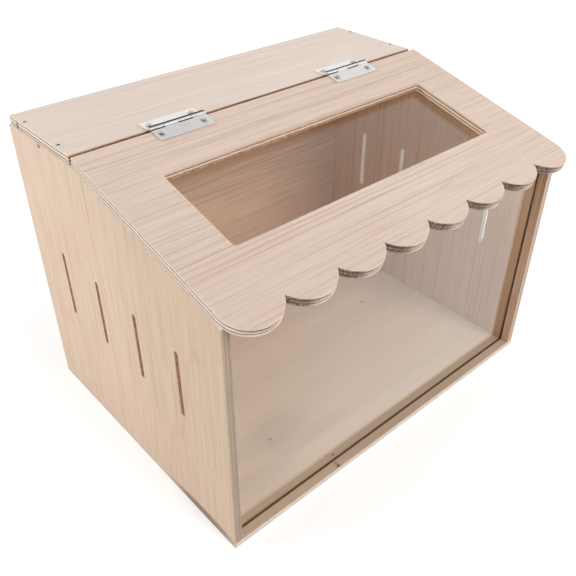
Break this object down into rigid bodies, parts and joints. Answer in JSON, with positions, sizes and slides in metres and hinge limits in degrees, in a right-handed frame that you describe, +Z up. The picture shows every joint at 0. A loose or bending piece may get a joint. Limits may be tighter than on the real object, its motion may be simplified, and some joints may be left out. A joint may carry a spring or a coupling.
{
  "type": "chick brooder box",
  "caption": "Free-standing plywood box with a sloping hinged lid, scalloped at the front, a clear lid window, a clear front pane in grooves and upright vent slots in the sides.",
  "frame": {"origin": "on the ground, at the middle of the whole object's footprint with the lid closed", "axes": "+X to the right seen from the front, along the hinge line; +Y to the back; +Z up"},
  "size_m": [0.4, 0.3158, 0.2964],
  "materials": {
    "plywood": "bare light plywood, fine straight grain, layered edges",
    "clear_acrylic": "clear, polished sheet",
    "nickel_steel": "bright nickel plate",
    "zinc_steel": "bluish zinc plate"
  },
  "bodies": {
    "box": {"left_side_panel": "plywood", "right_side_panel": "plywood", "floor_panel": "plywood", "back_panel": "plywood", "roof_strip": "plywood", "front_pane": "clear_acrylic", "left_hinge_fixed_leaf": "nickel_steel", "left_hinge_pin": "nickel_steel", "right_hinge_fixed_leaf": "nickel_steel", "right_hinge_pin": "nickel_steel", "roof_strip_screws": "zinc_steel", "left_hinge_fixed_screws": "zinc_steel", "right_hinge_fixed_screws": "zinc_steel", "floor_screws": "zinc_steel", "back_panel_pins": "zinc_steel"},
    "lid": {"lid_panel": "plywood", "lid_window_pane": "clear_acrylic", "lid_pane_screws": "zinc_steel", "left_hinge_lid_leaf": "nickel_steel", "right_hinge_lid_leaf": "nickel_steel", "left_hinge_lid_screws": "zinc_steel", "right_hinge_lid_screws": "zinc_steel"}
  },
  "joints": [
    {"name": "lid_hinge", "type": "hinge", "parent": "box", "child": "lid", "pos_m": [0, 0.04872, 0.2942], "axis": [-1, 0, 0], "range_deg": [0, 180]}
  ]
}
